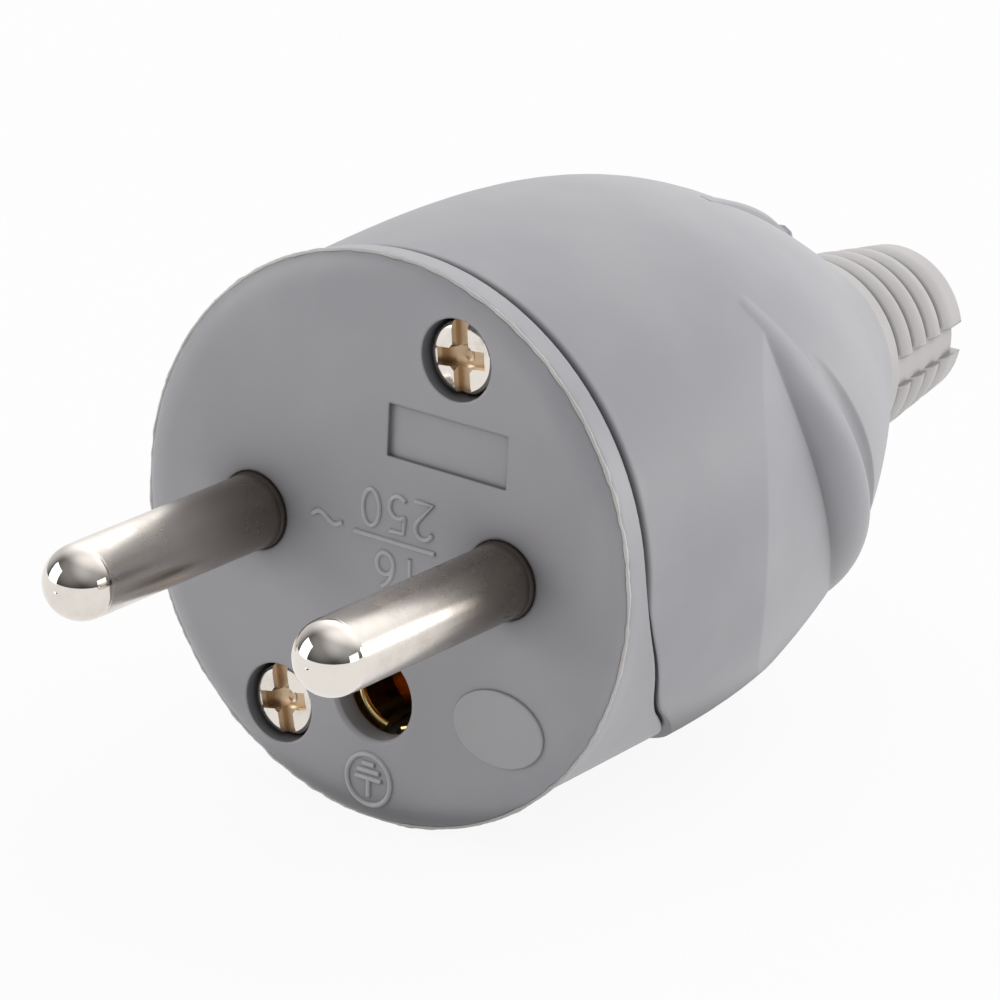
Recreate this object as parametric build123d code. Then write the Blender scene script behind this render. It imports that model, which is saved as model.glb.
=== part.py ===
from build123d import *

import os
from math import cos, radians, sin

# Rewirable two-pole-and-earth plug, millimetres.
# Origin: centre of the engagement face. +Y runs back to the cable, the pins point to -Y,
# +X runs along the line of the two pins and the earth hole is at -Z.

# Contact layout
pin_d = 4.8
pin_length = 19.0
pin_pitch = 19.0
pin_seat_d = 5.0
pin_seat_stand = 0.15
pin_seat_flare = 0.2
earth_hole_d = 5.8
earth_drop = 10.0

# Face and band of the carrier
face_d = 36.8
rim_radial = 2.0
rim_axial = 1.0
band_inset = 0.2
skirt_inset = 0.4
face_t = 4.0

# Joint between carrier and cover, in side view
joint_y = 2.7
joint_gap = 0.45
joint_top_z = -0.8
joint_knee_y = 7.2
joint_knee_rise = 9.6
joint_tail_y = 23.5
joint_tail_past = 1.6
joint_top_round = 12.0
joint_knee_round = 9.0
lip_t = 1.05
lip_reach = 3.0
lip_clearance = 0.2

# Rear cover
cover_wall = 1.8
cover_front_wall = 1.65
cover_front_inset = 0.5
cover_belly_rise = 0.05
cover_belly_back = 12.3
cover_shoulder_inset = 1.4
cover_shoulder_ahead = 18.8
cover_dome_inset = 5.7
cover_dome_ahead = 8.8
nose_wall = 0.9
nose_length = 8.2

# Finger grip on each side of the cover: a sloping facet, ahead of the nose's end
grip_crease_ahead = 31.3
grip_run = 20.5
grip_slope = 0.236
grip_turn = 2.0
grip_axis_offset = 6.5
grip_end_back = 0.7

# Rib behind each facet, a ring section on an arc: ahead of the nose's end, angle, depth of its axis
rib_section_r = 2.7
rib_path = {
    "start": (26.3, 46.0, 2.82),
    "middle": (20.04, 6.8, 3.58),
    "end": (12.3, -56.0, 6.45),
}
rib_groove_back = 2.7
rib_groove_tilt = 3.0
rib_groove_bend_r = 24.0
rib_groove_section_r = 1.6
rib_groove_drop = 1.45

# Bend relief sleeve
cable_bore_r = 4.2
sleeve_neck_clearance = 0.1
sleeve_neck_wall = 2.3
sleeve_flange_w = 2.7
sleeve_flange_t = 2.0
sleeve_flange_gap = 3.6
sleeve_root_inset = 0.35
sleeve_end_wall = 1.15
sleeve_length = 12.2
sleeve_groove_start = 1.8
sleeve_groove_pitch = 2.3
sleeve_groove_w = 1.6
sleeve_groove_depth = 0.65
sleeve_groove_count = 4
sleeve_strip_w = 2.0
sleeve_strip_depth = 0.4
sleeve_notch_depth = 0.9

# Pins and their pillar terminals
running_clearance = 0.05
pocket_clearance = 0.15
collar_r = 3.6
collar_t = 1.6
pillar_r = 3.3
pillar_length = 9.4
wire_hole_r = 1.7
wire_hole_depth = 8.0
terminal_setback = 4.5
terminal_screw_r = 1.5
terminal_screw_tip_z = 0.6
terminal_head_r = 2.5
terminal_head_t = 1.8
terminal_head_gap = 0.6
pocket_wall = 1.3
pocket_floor_z = -5.0
pocket_top_z = 2.5

# Earth contact, rolled and folded from strip
strip_t = 0.6
earth_wall_t = 1.6
earth_mouth = 0.2
socket_front_y = 2.1
socket_grip_y = 5.0
socket_mouth_r = 2.8
socket_grip_r = 2.35
socket_slit_w = 1.3
socket_slit_end_y = 10.0
socket_slit_turn = 5.0
socket_clearance = 0.25
earth_tower_setback = 1.35
earth_tower_wall = 1.25
ear_x = 4.6
ear_w = 2.6
tab_w = 6.0
tab_z = -5.4
tab_margin = 3.8
fold_r = 1.0
earth_screw_gap = 2.6
earth_screw_r = 1.6
earth_screw_length = 5.2
earth_collar_r = 2.6
earth_collar_t = 1.4
earth_head_r = 2.9
earth_head_t = 2.0
earth_washer_side = 6.4
earth_washer_t = 0.7

# Contact retainer
retainer_t = 2.0
retainer_half_x = 13.0
retainer_half_z = 3.8
retainer_leg_gap = 0.3
retainer_wire_hole_r = 2.0
centre_boss_r = 3.2
retainer_screw_r = 1.4
retainer_screw_length = 8.5
retainer_head_r = 2.75
retainer_head_t = 2.0

# Cord clamp
cord_clearance = 0.15
clamp_gap = 0.7
clamp_bed_length = 6.0
clamp_bed_half_x = 10.4
clamp_bed_floor_z = -6.6
clamp_split_z = -1.0
clamp_bar_length = 5.0
clamp_bar_t = 1.9
clamp_ear_t = 2.2
clamp_screw_inset = 2.1
clamp_screw_r = 1.3
clamp_screw_length = 7.0
clamp_head_r = 2.1
clamp_head_t = 1.8
rail_t = 2.0

# Assembly screws, from the face into inserts in the cover
screw_rim_inset = 4.1
upper_screw_angle = 66.6
lower_screw_angle = 239.3
lower_tower_past = 0.5
lower_tower_r = 2.5
screw_hole_r = 2.6
screw_head_r = 2.35
screw_head_y = 0.45
screw_head_t = 2.0
screw_head_soft_r = 0.4
screw_r = 1.5
screw_length = 20.0
screw_clearance = 0.15
boss_r = 3.3
boss_clearance = 0.2
boss_end_t = 1.5
boss_floor_gap = 1.0
insert_r = 2.3
insert_length = 4.8
insert_clearance = 0.02

# Worked-out places
face_r = face_d / 2
pin_r = pin_d / 2
pin_x = pin_pitch / 2
pin_seat_r = pin_seat_d / 2
band_end_r = face_r - band_inset
skirt_r = face_r - skirt_inset
joint_knee_z = joint_knee_rise - face_r
joint_tail_z = -face_r - joint_tail_past
cover_front_r = face_r - cover_front_inset
cover_belly_r = face_r + cover_belly_rise
cover_shoulder_r = face_r - cover_shoulder_inset
cover_dome_r = face_r - cover_dome_inset
cover_inner_r = cover_front_r - cover_front_wall
lip_r = cover_inner_r - lip_clearance
carrier_inner_r = lip_r - lip_t
pillar_end_y = face_t + collar_t + pillar_length
terminal_y = pillar_end_y - terminal_setback
earth_tower_y = pillar_end_y - earth_tower_setback
retainer_end_y = pillar_end_y + retainer_t
earth_screw_y = retainer_end_y + earth_screw_gap + earth_head_r
tab_end_y = earth_screw_y + tab_margin
clamp_y = tab_end_y + clamp_gap + clamp_bed_length / 2
clamp_screw_x = clamp_bed_half_x - clamp_screw_inset
nose_step_y = clamp_y + clamp_bed_length / 2 + sleeve_flange_gap + sleeve_flange_t
nose_y = nose_step_y + nose_length
cover_belly_y = joint_y + cover_belly_back
cover_shoulder_y = nose_y - cover_shoulder_ahead
cover_dome_y = nose_y - cover_dome_ahead
grip_crease_y = nose_y - grip_crease_ahead
rib_places = {
    name: Vector(cover_belly_r - inset, nose_y - ahead).rotate(Axis.Y, -turn)
    for name, (ahead, turn, inset) in rib_path.items()
}
sleeve_neck_r = cable_bore_r + sleeve_neck_wall
sleeve_flange_r = sleeve_neck_r + sleeve_flange_w
sleeve_end_r = cable_bore_r + sleeve_end_wall
neck_bore_r = sleeve_neck_r + sleeve_neck_clearance
nose_r = neck_bore_r + nose_wall
sleeve_root_r = nose_r - sleeve_root_inset
sleeve_end_y = nose_y + sleeve_length
sleeve_groove_first_y = nose_y + sleeve_groove_start
cord_r = cable_bore_r + cord_clearance
pocket_r = collar_r + pocket_clearance
socket_pocket_r = socket_mouth_r + strip_t + socket_clearance
earth_tower_r = socket_pocket_r + earth_tower_wall
screw_ring_r = face_r - screw_rim_inset
screw_turns = {"upper": radians(upper_screw_angle), "lower": radians(lower_screw_angle)}
screw_places = {
    name: (screw_ring_r * cos(turn), screw_ring_r * sin(turn)) for name, turn in screw_turns.items()
}
lower_tower_y = retainer_end_y + lower_tower_past
screw_floor_y = screw_head_y + screw_head_t
screw_tip_y = screw_floor_y + screw_length
boss_front = {"upper": face_t, "lower": lower_tower_y}
boss_hole_y = screw_tip_y + boss_floor_gap
boss_end_y = boss_hole_y + boss_end_t
far = 80.0


def rod_y(x, z, y0, y1, r):
    """Cylinder along Y."""
    return Pos(x, (y0 + y1) / 2, z) * Rot(90, 0, 0) * Cylinder(r, y1 - y0)


def rod_z(x, y, z0, z1, r):
    """Cylinder along Z."""
    return Pos(x, y, (z0 + z1) / 2) * Cylinder(r, z1 - z0)


def block(x0, x1, y0, y1, z0, z1):
    """Box between two corners."""
    return Pos((x0 + x1) / 2, (y0 + y1) / 2, (z0 + z1) / 2) * Box(x1 - x0, y1 - y0, z1 - z0)


def turned(*lines):
    """Solid of revolution about Y from a closed (radius, y) outline."""
    return revolve(make_face(Curve() + list(lines)), Axis.Y)


def in_front_of_joint(shift):
    """Everything ahead of the joint line, moved back by shift along Y."""
    knee = (joint_knee_y + shift, joint_knee_z)
    start = (joint_y + shift, far)
    top = (joint_y + shift, joint_top_z)
    tail = (joint_tail_y + shift, joint_tail_z)
    line = FilletPolyline(start, top, knee, tail, radius=[joint_top_round, joint_knee_round])
    back = Polyline(tail, (tail[0], -far), (-far, -far), (-far, far), start)
    side = Plane.YZ * make_face(Curve() + [line, back])
    return extrude(side, amount=far, both=True)


def carrier_form():
    """Outer form of the carrier: face, rounded rim, band and skirt."""
    rim_start = (face_r - rim_radial, 0)
    rim_end = (face_r, rim_axial)
    return turned(
        Line((0, 0), rim_start),
        EllipticalCenterArc(
            (face_r - rim_radial, rim_axial), rim_radial, rim_axial, start_angle=-90, arc_size=90
        ),
        Polyline(rim_end, (band_end_r, joint_y), (skirt_r, joint_tail_y), (0, joint_tail_y), (0, 0)),
    )


def pin_pocket(x):
    """Open-topped trough that keeps a pillar terminal from turning over."""
    half = pocket_r + pocket_wall
    trough = block(x - half, x + half, face_t - 1, pillar_end_y - joint_gap, pocket_floor_z, pocket_top_z)
    room = rod_y(x, 0, face_t, far, pocket_r)
    room += block(x - pocket_r, x + pocket_r, face_t, far, 0, far)
    return trough, room


def clamp_bed():
    """Rear bed for the cord, on two rails from the pin pockets."""
    y0 = clamp_y - clamp_bed_length / 2
    y1 = clamp_y + clamp_bed_length / 2
    bed = block(-clamp_bed_half_x, clamp_bed_half_x, y0, y1, clamp_bed_floor_z, clamp_split_z)
    for side in (-1, 1):
        outer = side * clamp_bed_half_x
        inner = outer - side * rail_t
        rail = block(min(outer, inner), max(outer, inner), terminal_y, y1, clamp_bed_floor_z, -cord_r)
        bed += rail
        hole_r = clamp_screw_r + running_clearance
        bed -= rod_z(side * clamp_screw_x, clamp_y, clamp_bed_floor_z, clamp_split_z, hole_r)
    return bed - rod_y(0, 0, y0 - 1, y1 + 1, cord_r)


def earth_opening():
    """Hole for the socket's earth pin, with a broken edge at its mouth."""
    hole_r = earth_hole_d / 2
    return turned(
        Polyline(
            (0, -earth_mouth),
            (hole_r + 2 * earth_mouth, -earth_mouth),
            (hole_r, earth_mouth),
            (hole_r, earth_wall_t + earth_mouth),
            (0, earth_wall_t + earth_mouth),
            close=True,
        )
    )


def pin_carrier():
    """Front moulding: face, band, skirt, lip, terminal pockets and cord bed."""
    body = carrier_form() & in_front_of_joint(0)
    body += rod_y(0, 0, face_t / 2, far, lip_r) & in_front_of_joint(lip_reach)
    body -= rod_y(0, 0, face_t, far, carrier_inner_r)

    for name, (x, z) in screw_places.items():
        front = boss_front[name]
        body -= rod_y(x, z, front, far, boss_r + boss_clearance)
        if front > face_t:
            body += rod_y(x, z, face_t - 1, front, lower_tower_r) & rod_y(0, 0, 0, far, lip_r)

    body += rod_y(0, -earth_drop, face_t - 1, earth_tower_y, earth_tower_r)
    body += rod_y(0, 0, face_t - 1, pillar_end_y, centre_boss_r)
    body += clamp_bed()
    rooms = []
    for x in (-pin_x, pin_x):
        trough, room = pin_pocket(x)
        body += trough & rod_y(0, 0, 0, far, lip_r)
        rooms.append(room)
    for room in rooms:
        body -= room & block(-far, far, face_t, pillar_end_y, -far, far)
    body -= rod_y(0, -earth_drop, earth_wall_t, far, socket_pocket_r)

    for x in (-pin_x, pin_x):
        body -= rod_y(x, 0, -1, face_t + 1, pin_seat_r + running_clearance)
    body -= Pos(0, 0, -earth_drop) * earth_opening()
    pilot_r = retainer_screw_r + running_clearance
    body -= rod_y(0, 0, pillar_end_y - retainer_screw_length, far, pilot_r)
    for name, (x, z) in screw_places.items():
        body -= rod_y(x, z, -1, screw_floor_y, screw_hole_r)
        body -= rod_y(x, z, -1, boss_front[name] + 1, screw_r + screw_clearance)
    return body


def cover_profile(inset):
    """Outer curve of the cover, moved in by inset, from the joint to the nose."""
    places = [
        (cover_front_r - inset, joint_y),
        (cover_belly_r - inset, cover_belly_y),
        (cover_shoulder_r - inset, cover_shoulder_y),
        (cover_dome_r - inset, cover_dome_y),
        (nose_r - inset, nose_y),
    ]
    return places


def rib_arc():
    """Axis of the rib of the +X side, and the plane that it lies in."""
    start, middle, end = rib_places.values()
    axis = ThreePointArc(start, middle, end)
    across = (middle - start).cross(end - start)
    return axis, Plane(axis.arc_center, x_dir=middle - axis.arc_center, z_dir=across)


def grip_scoop(depth=0):
    """Finger grip of the +X side, sunk by depth: a sloping facet that runs back to the rib."""
    crease_r = cover_belly_r + grip_axis_offset - depth
    root_r = crease_r - grip_slope * grip_run
    end_y = grip_crease_y + grip_run
    outline = Polyline(
        (crease_r, grip_crease_y), (root_r, end_y), (far, end_y), (far, grip_crease_y), close=True
    )
    ring = Rot(0, 180, 0) * revolve(make_face(outline), Axis.Y)
    facet = Rot(0, -grip_turn, 0) * Pos(-grip_axis_offset, 0, 0) * ring
    behind = rib_arc()[1] * Pos(0, 0, far + grip_end_back + depth) * Box(2 * far, 2 * far, 2 * far)
    return facet - behind


def grip_rib():
    """Rounded rib of the +X side."""
    axis = rib_arc()[0]
    start = Plane(axis @ 0, z_dir=axis % 0)
    rib = sweep(start * Circle(rib_section_r), axis)
    return rib + Pos(*(axis @ 0)) * Sphere(rib_section_r) + Pos(*(axis @ 1)) * Sphere(rib_section_r)


def rib_groove():
    """Shallow crescent behind the rib."""
    axis, ring_plane = rib_arc()
    reach = axis.radius + rib_section_r - rib_groove_drop + rib_groove_section_r
    ring = Torus(rib_groove_bend_r, rib_groove_section_r)
    tilted = ring_plane * Rot(-rib_groove_tilt, 0, 0)
    return tilted * Pos(reach - rib_groove_bend_r, 0, rib_groove_back) * ring


def rear_cover():
    """Hollow cover with screw bosses, finger grips and the nose for the sleeve."""
    outer = Spline(*cover_profile(0))
    front = (cover_front_r, joint_y)
    nose = (nose_r, nose_y)
    body = Rot(0, 90, 0) * turned(outer, Polyline(nose, (0, nose_y), (0, joint_y), front))
    body -= in_front_of_joint(joint_gap)
    for turn in (0, 180):
        side = Rot(0, turn, 0)
        body -= side * grip_scoop()
        body += side * grip_rib()
        body -= side * rib_groove()

    hollow_side = Spline(*cover_profile(cover_wall)[1:])
    hollow = turned(
        hollow_side,
        Polyline(
            (nose_r - cover_wall, nose_y),
            (0, nose_y),
            (0, joint_y),
            (cover_inner_r, joint_y),
            (cover_inner_r, cover_belly_y),
            (cover_belly_r - cover_wall, cover_belly_y),
        ),
    )
    hollow &= rod_y(0, 0, 0, nose_step_y, cover_inner_r)
    for turn in (0, 180):
        hollow -= Rot(0, turn, 0) * grip_scoop(cover_wall)
    bore = rod_y(0, 0, 0, far, neck_bore_r)

    for name, (x, z) in screw_places.items():
        hollow -= rod_y(x, z, boss_front[name], boss_end_y, boss_r)
    body -= hollow
    body -= bore
    for name, (x, z) in screw_places.items():
        front_y = boss_front[name]
        body += rod_y(x, z, front_y, boss_end_y, boss_r) & rod_y(0, 0, 0, far, lip_r)
        body -= rod_y(x, z, 0, boss_hole_y, screw_r + screw_clearance)
        body -= rod_y(x, z, 0, front_y + insert_length, insert_r + insert_clearance)
    return body


def sleeve():
    """Ribbed bend relief: inner flange, neck through the nose, ringed cone."""
    flange_y = nose_step_y - sleeve_flange_t
    body = turned(
        Polyline(
            (cable_bore_r, flange_y),
            (sleeve_flange_r, flange_y),
            (sleeve_flange_r, nose_step_y),
            (sleeve_neck_r, nose_step_y),
            (sleeve_neck_r, nose_y),
            (sleeve_root_r, nose_y),
            (sleeve_end_r, sleeve_end_y),
            (cable_bore_r, sleeve_end_y),
            close=True,
        )
    )
    taper = (sleeve_root_r - sleeve_end_r) / (sleeve_end_y - nose_y)
    half_strip = sleeve_strip_w / 2
    strips = block(-far, far, sleeve_groove_first_y, far, -half_strip, half_strip)
    for n in range(sleeve_groove_count):
        y0 = sleeve_groove_first_y + n * sleeve_groove_pitch
        y1 = y0 + sleeve_groove_w
        floor_r = sleeve_root_r - taper * (y0 - nose_y) - sleeve_groove_depth
        lip_end_r = sleeve_root_r - taper * (y1 - nose_y)
        ring = turned(Polyline((floor_r, y0), (far, y0), (far, y1), (lip_end_r, y1), close=True))
        body -= ring - strips
    strip_floor = turned(
        Polyline(
            (0, nose_y),
            (sleeve_root_r - sleeve_strip_depth, nose_y),
            (sleeve_end_r - sleeve_strip_depth, sleeve_end_y),
            (0, sleeve_end_y),
            close=True,
        )
    )
    body -= strips - strip_floor - block(-far, far, sleeve_end_y, far, -far, far)
    body -= block(-far, far, sleeve_end_y - sleeve_notch_depth, far, -half_strip, half_strip)
    return body


def contact_pin(x):
    """Turned pin with collar and pillar terminal."""
    dome_y = pin_r - pin_length
    dome_side = pin_r * cos(radians(45))
    collar_end = face_t + collar_t
    body = turned(
        ThreePointArc((0, -pin_length), (dome_side, dome_y - dome_side), (pin_r, dome_y)),
        Polyline(
            (pin_r, dome_y),
            (pin_r, -pin_seat_stand - pin_seat_flare),
            (pin_seat_r, -pin_seat_stand),
            (pin_seat_r, face_t),
            (collar_r, face_t),
            (collar_r, collar_end),
            (pillar_r, collar_end),
            (pillar_r, pillar_end_y),
            (0, pillar_end_y),
            (0, -pin_length),
        ),
    )
    body -= rod_y(0, 0, pillar_end_y - wire_hole_depth, far, wire_hole_r)
    body -= rod_z(0, terminal_y, 0, far, terminal_screw_r + running_clearance)
    return Pos(x, 0, 0) * body


def terminal_screw(x):
    """Screw that presses on the wire in a pillar."""
    head_z = pillar_r + terminal_head_gap
    shank = rod_z(x, terminal_y, terminal_screw_tip_z, head_z, terminal_screw_r)
    return shank + rod_z(x, terminal_y, head_z, head_z + terminal_head_t, terminal_head_r)


def earth_contact():
    """Slit socket with its base, ears and terminal tab, rolled and folded from one strip."""
    base_y = earth_tower_y + strip_t / 2
    socket = turned(
        Polyline(
            (socket_mouth_r, socket_front_y),
            (socket_grip_r, socket_grip_y),
            (socket_grip_r, base_y),
            (socket_grip_r + strip_t, base_y),
            (socket_grip_r + strip_t, socket_grip_y),
            (socket_mouth_r + strip_t, socket_front_y),
            close=True,
        )
    )
    half = socket_slit_w / 2
    slit = block(-half, half, 0, socket_slit_end_y, -far, far)
    socket -= Rot(0, socket_slit_turn, 0) * slit
    socket += rod_y(0, 0, earth_tower_y, earth_tower_y + strip_t, socket_grip_r + strip_t)
    socket = Pos(0, 0, -earth_drop) * socket
    ear_z = -earth_drop - ear_w / 2
    ears = block(-ear_x, ear_x, earth_tower_y, earth_tower_y + strip_t, ear_z, ear_z + ear_w)
    rise = FilletPolyline((base_y, -earth_drop), (base_y, tab_z), (tab_end_y, tab_z), radius=fold_r)
    tab = extrude(Plane.YZ * trace(rise, line_width=strip_t), amount=tab_w / 2, both=True)
    under = tab_z - strip_t / 2
    body = socket + ears + tab + rod_z(0, earth_screw_y, under - earth_collar_t, under, earth_collar_r)
    return body - rod_z(0, earth_screw_y, -far, far, earth_screw_r + running_clearance)


def earth_washer():
    """Square clamping washer under the earth screw's head."""
    z0 = tab_z + strip_t / 2
    half = earth_washer_side / 2
    plate = block(-half, half, earth_screw_y - half, earth_screw_y + half, z0, z0 + earth_washer_t)
    return plate - rod_z(0, earth_screw_y, -far, far, earth_screw_r + running_clearance)


def earth_screw():
    """Screw of the earth terminal."""
    head_z = tab_z + strip_t / 2 + earth_washer_t
    shank = rod_z(0, earth_screw_y, head_z - earth_screw_length, head_z, earth_screw_r)
    return shank + rod_z(0, earth_screw_y, head_z, head_z + earth_head_t, earth_head_r)


def contact_retainer():
    """Insulating plate that holds the pillars and the earth contact from behind."""
    y1 = retainer_end_y
    body = block(-retainer_half_x, retainer_half_x, pillar_end_y, y1, -retainer_half_z, retainer_half_z)
    leg_x = tab_w / 2 + retainer_leg_gap
    leg_z = -earth_drop - ear_w / 2
    for side in (-1, 1):
        x0, x1 = sorted((side * leg_x, side * ear_x))
        body += block(x0, x1, pillar_end_y, y1, leg_z, -retainer_half_z)
        body += block(x0, x1, earth_tower_y + strip_t, y1, leg_z, -earth_drop + ear_w / 2)
        body -= rod_y(side * pin_x, 0, 0, far, retainer_wire_hole_r)
    body -= rod_y(0, 0, 0, far, retainer_screw_r + running_clearance)
    return body


def retainer_screw():
    """Screw through the retainer into the centre boss."""
    head_y = retainer_end_y
    shank = rod_y(0, 0, head_y - retainer_screw_length, head_y, retainer_screw_r)
    return shank + rod_y(0, 0, head_y, head_y + retainer_head_t, retainer_head_r)


def clamp_bar():
    """Arched bar over the cord."""
    y0 = clamp_y - clamp_bar_length / 2
    y1 = clamp_y + clamp_bar_length / 2
    ear_z = clamp_split_z + clamp_ear_t
    half_x = clamp_bed_half_x
    body = block(-half_x, half_x, y0, y1, clamp_split_z, ear_z)
    arch = rod_y(0, 0, y0, y1, cord_r + clamp_bar_t)
    body += arch & block(-far, far, -far, far, clamp_split_z, far)
    body -= rod_y(0, 0, y0 - 1, y1 + 1, cord_r)
    for side in (-1, 1):
        body -= rod_z(side * clamp_screw_x, clamp_y, -far, far, clamp_screw_r + running_clearance)
    return body


def clamp_screw(side):
    """Screw of the cord clamp."""
    x = side * clamp_screw_x
    head_z = clamp_split_z + clamp_ear_t
    shank = rod_z(x, clamp_y, head_z - clamp_screw_length, head_z, clamp_screw_r)
    return shank + rod_z(x, clamp_y, head_z, head_z + clamp_head_t, clamp_head_r)


def assembly_screw(name):
    """Long screw from the face into the cover's insert."""
    x, z = screw_places[name]
    shank = rod_y(x, z, screw_floor_y, screw_tip_y, screw_r)
    head = rod_y(x, z, screw_head_y, screw_floor_y, screw_head_r)
    head = fillet(head.edges().sort_by(Axis.Y)[0], screw_head_soft_r)
    return shank + head


def cover_insert(name):
    """Threaded insert in a cover boss."""
    x, z = screw_places[name]
    y = boss_front[name]
    return rod_y(x, z, y, y + insert_length, insert_r) - rod_y(x, z, 0, far, screw_r + running_clearance)


nodes = {
    "pin_carrier": pin_carrier(),
    "rear_cover": rear_cover(),
    "bend_relief_sleeve": sleeve(),
    "left_pin": contact_pin(-pin_x),
    "right_pin": contact_pin(pin_x),
    "left_terminal_screw": terminal_screw(-pin_x),
    "right_terminal_screw": terminal_screw(pin_x),
    "earth_contact": earth_contact(),
    "earth_clamp_washer": earth_washer(),
    "earth_terminal_screw": earth_screw(),
    "contact_retainer": contact_retainer(),
    "retainer_screw": retainer_screw(),
    "cord_clamp_bar": clamp_bar(),
    "left_clamp_screw": clamp_screw(-1),
    "right_clamp_screw": clamp_screw(1),
}
for place in screw_places:
    nodes[f"{place}_assembly_screw"] = assembly_screw(place)
    nodes[f"{place}_cover_insert"] = cover_insert(place)

os.makedirs("parts", exist_ok=True)
for node, shape in nodes.items():
    export_step(shape, f"parts/{node}.step")
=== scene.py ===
import math

import bmesh
import bpy
from mathutils import Matrix, Vector
from mathutils.bvhtree import BVHTree


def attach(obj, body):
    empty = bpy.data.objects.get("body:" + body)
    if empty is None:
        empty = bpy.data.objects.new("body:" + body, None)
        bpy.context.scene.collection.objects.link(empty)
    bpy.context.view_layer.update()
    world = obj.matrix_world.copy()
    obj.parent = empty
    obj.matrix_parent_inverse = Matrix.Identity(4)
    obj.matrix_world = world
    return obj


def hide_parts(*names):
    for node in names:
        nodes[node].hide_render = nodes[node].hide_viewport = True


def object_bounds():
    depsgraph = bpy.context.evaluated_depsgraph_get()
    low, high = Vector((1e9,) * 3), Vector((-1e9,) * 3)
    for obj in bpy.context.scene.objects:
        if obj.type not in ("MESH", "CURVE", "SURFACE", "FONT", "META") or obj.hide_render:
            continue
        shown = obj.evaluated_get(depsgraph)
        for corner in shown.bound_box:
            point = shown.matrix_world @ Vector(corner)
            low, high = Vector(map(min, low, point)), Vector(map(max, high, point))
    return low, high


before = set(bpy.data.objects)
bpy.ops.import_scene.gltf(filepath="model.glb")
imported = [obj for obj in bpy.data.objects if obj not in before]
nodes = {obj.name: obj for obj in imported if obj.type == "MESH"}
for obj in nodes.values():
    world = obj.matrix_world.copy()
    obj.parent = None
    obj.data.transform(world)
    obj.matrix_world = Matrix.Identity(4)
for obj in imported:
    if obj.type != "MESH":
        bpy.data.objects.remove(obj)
cad_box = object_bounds()
MM = 0.001

# Places on the plug, in millimetres and degrees in the part's own frame
FACE_R = 18.4
PIN_LENGTH = 19.0
PIN_R = 2.4
# Stretch of the pins that carries painted dark reflection of the face
PIN_PAINTED_REFLECTION_Y = (-13.0, -2.0)
# Stretch of painted shade at the pins' root
PIN_ROOT_Y = (-0.9, -0.05)
SCREW_RING_R = 14.3
SCREW_ANGLES = {"upper": 66.6, "lower": 239.3}
SCREW_SLOT_TURNS = {"upper": 95.6, "lower": 101.0}
SCREW_HEAD_Y = 0.45
SCREW_HEAD_T = 2.0
SCREW_HEAD_R = 2.35
SCREW_SHANK_R = 1.5
SCREW_LENGTH = 20.0
SLOT_W = 1.2
SLOT_DEPTH = 0.75
CROSS_W = 1.15
CROSS_LENGTH = 3.5
CROSS_DEPTH = 0.95
HEART_R = 1.02
HEART_FLOOR_R = 0.75
THREAD_DEPTH = 0.22
THREAD_PITCH = 0.7
THREAD_LENGTH = 15.0
THREAD_START = 4.6
FLASH_Y = 0.74
PLATE_CENTRE = (5.18, 7.56)
PLATE_SIZE = (8.93, 3.4)
PLATE_TURN = 1.1
PLATE_DEPTH = 0.28
OVAL_CENTRE = (9.67, -9.62)
OVAL_HALF = (3.35, 2.45)
OVAL_STAND = 0.2
EARTH_DROP = 10.0
LIP_RING_R = 2.74
LIP_R = 0.28
LIP_Y = 2.3
FIGURE_HEIGHT = 2.35
EARTH_SIGN_CENTRE = (-0.15, -15.58)
EARTH_SIGN_R = 1.68
FIN_ANGLE = 77.0
FIN_START_Y = 29.0
FIN_END_Y = 40.9
FIN_STAND = 0.5
NUB_Y = 40.2
COVER_EDGE_ROUND = 0.7
# Width over which the painted shade along the cover's front edge stays full
JOINT_PAINTED_SHADE_W = 0.12
SLEEVE_BORE_R = 4.2
SLEEVE_GROOVE_Y = 48.6
SLEEVE_GROOVE_PITCH = 2.3
SLEEVE_GROOVE_END_Y = 57.0
SLEEVE_STRIP_HALF = 1.0

# Colours as scene-linear values
GREY = (0.381, 0.378, 0.405, 1)
GREY_LIGHT = (0.421, 0.416, 0.441, 1)
MARK_GREY = (0.48, 0.485, 0.495, 1)
MARK_GREY_LIGHT = (0.55, 0.553, 0.56, 1)
FLASH_GREY = (0.58, 0.565, 0.55, 1)
FLASH_GREY_LIGHT = (0.72, 0.705, 0.69, 1)
OVAL_GREY = (0.425, 0.425, 0.445, 1)
OVAL_GREY_LIGHT = (0.465, 0.462, 0.478, 1)
# Painted shade laid along the cover's front edge in the joint
JOINT_PAINTED_SHADE = (0.05, 0.048, 0.05, 1)
# Painted shadow in the ring grooves of the sleeve
SLEEVE_PAINTED_SHADE = (0.13, 0.126, 0.126, 1)
# Painted shade laid in hollows by ambient occlusion
HOLLOW_PAINTED_SHADE = (0.07, 0.07, 0.078, 1)
SLEEVE_GREY = (0.545, 0.522, 0.525, 1)
SLEEVE_GREY_LIGHT = (0.595, 0.568, 0.568, 1)
NICKEL = (0.78, 0.735, 0.68, 1)
NICKEL_DULL = (0.64, 0.585, 0.525, 1)
# Painted dark reflection of the face on the pins' barrels
NICKEL_PAINTED_DARK_REFLECTION = (0.27, 0.235, 0.205, 1)
# Painted shade at the pins' root
ROOT_SHADE = (0.09, 0.075, 0.065, 1)
TARNISH = (0.56, 0.42, 0.28, 1)
BRASS = (0.83, 0.55, 0.17, 1)
BRASS_BRIGHT = (0.95, 0.72, 0.34, 1)
BRASS_DULL = (0.42, 0.25, 0.08, 1)
INNER_CREAM = (0.58, 0.56, 0.51, 1)
INNER_CREAM_LIGHT = (0.64, 0.62, 0.57, 1)

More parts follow.
